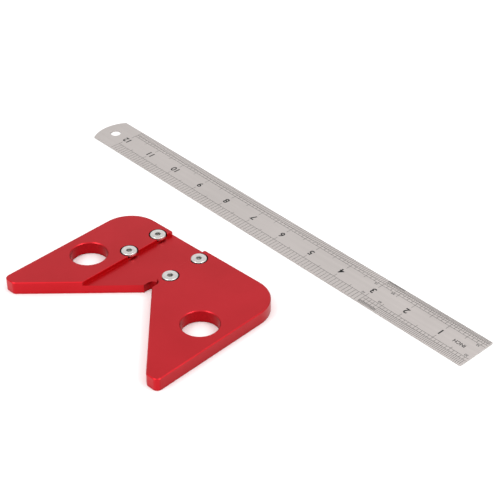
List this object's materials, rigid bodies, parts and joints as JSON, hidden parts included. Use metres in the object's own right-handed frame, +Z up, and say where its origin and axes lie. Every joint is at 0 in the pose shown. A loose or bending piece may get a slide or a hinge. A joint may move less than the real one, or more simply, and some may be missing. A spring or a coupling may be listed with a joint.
{
  "type": "combination square",
  "caption": "Flat V-notched marking head with a side slot, finger holes and clamp screws, and its graduated steel rule, for finding centres and marking square lines.",
  "frame": {"origin": "on the surface that the square lies on, at the middle of the head and rule together", "axes": "+Z up, +Y along the V's centreline from the tips to the head's back edge, +X to the right along the back edge"},
  "size_m": [0.3281, 0.1737, 0.0086],
  "materials": {
    "red_anodised": "red anodised aluminium, fine satin",
    "satin_steel": "satin stainless steel with dark etched marks",
    "screw_steel": "bright turned steel"
  },
  "bodies": {
    "head": {"head_plate": "red_anodised"},
    "rule": {"steel_rule": "satin_steel"},
    "screw_back_left": {"clamp_screw_back_left": "screw_steel"},
    "screw_back_right": {"clamp_screw_back_right": "screw_steel"},
    "screw_front_left": {"clamp_screw_front_left": "screw_steel"},
    "screw_front_right": {"clamp_screw_front_right": "screw_steel"}
  },
  "joints": [
    {"name": "rule_slide", "type": "slide", "parent": "head", "child": "rule", "axis": [-0.9983, 0.0583, 0], "range_m": [-0.147, 0.147]},
    {"name": "screw_turn_back_left", "type": "hinge", "parent": "head", "child": "screw_back_left", "pos_m": [-0.0361, 0.0041, 0.0055], "axis": [0, 0, 1], "range_deg": [-90, 1890]},
    {"name": "screw_turn_back_right", "type": "hinge", "parent": "head", "child": "screw_back_right", "pos_m": [-0.0007, 0.0041, 0.0055], "axis": [0, 0, 1], "range_deg": [-90, 1890]},
    {"name": "screw_turn_front_left", "type": "hinge", "parent": "head", "child": "screw_front_left", "pos_m": [-0.0361, -0.01905, 0.0055], "axis": [0, 0, 1], "range_deg": [-90, 1890]},
    {"name": "screw_turn_front_right", "type": "hinge", "parent": "head", "child": "screw_front_right", "pos_m": [-0.0007, -0.01905, 0.0055], "axis": [0, 0, 1], "range_deg": [-90, 1890]}
  ]
}
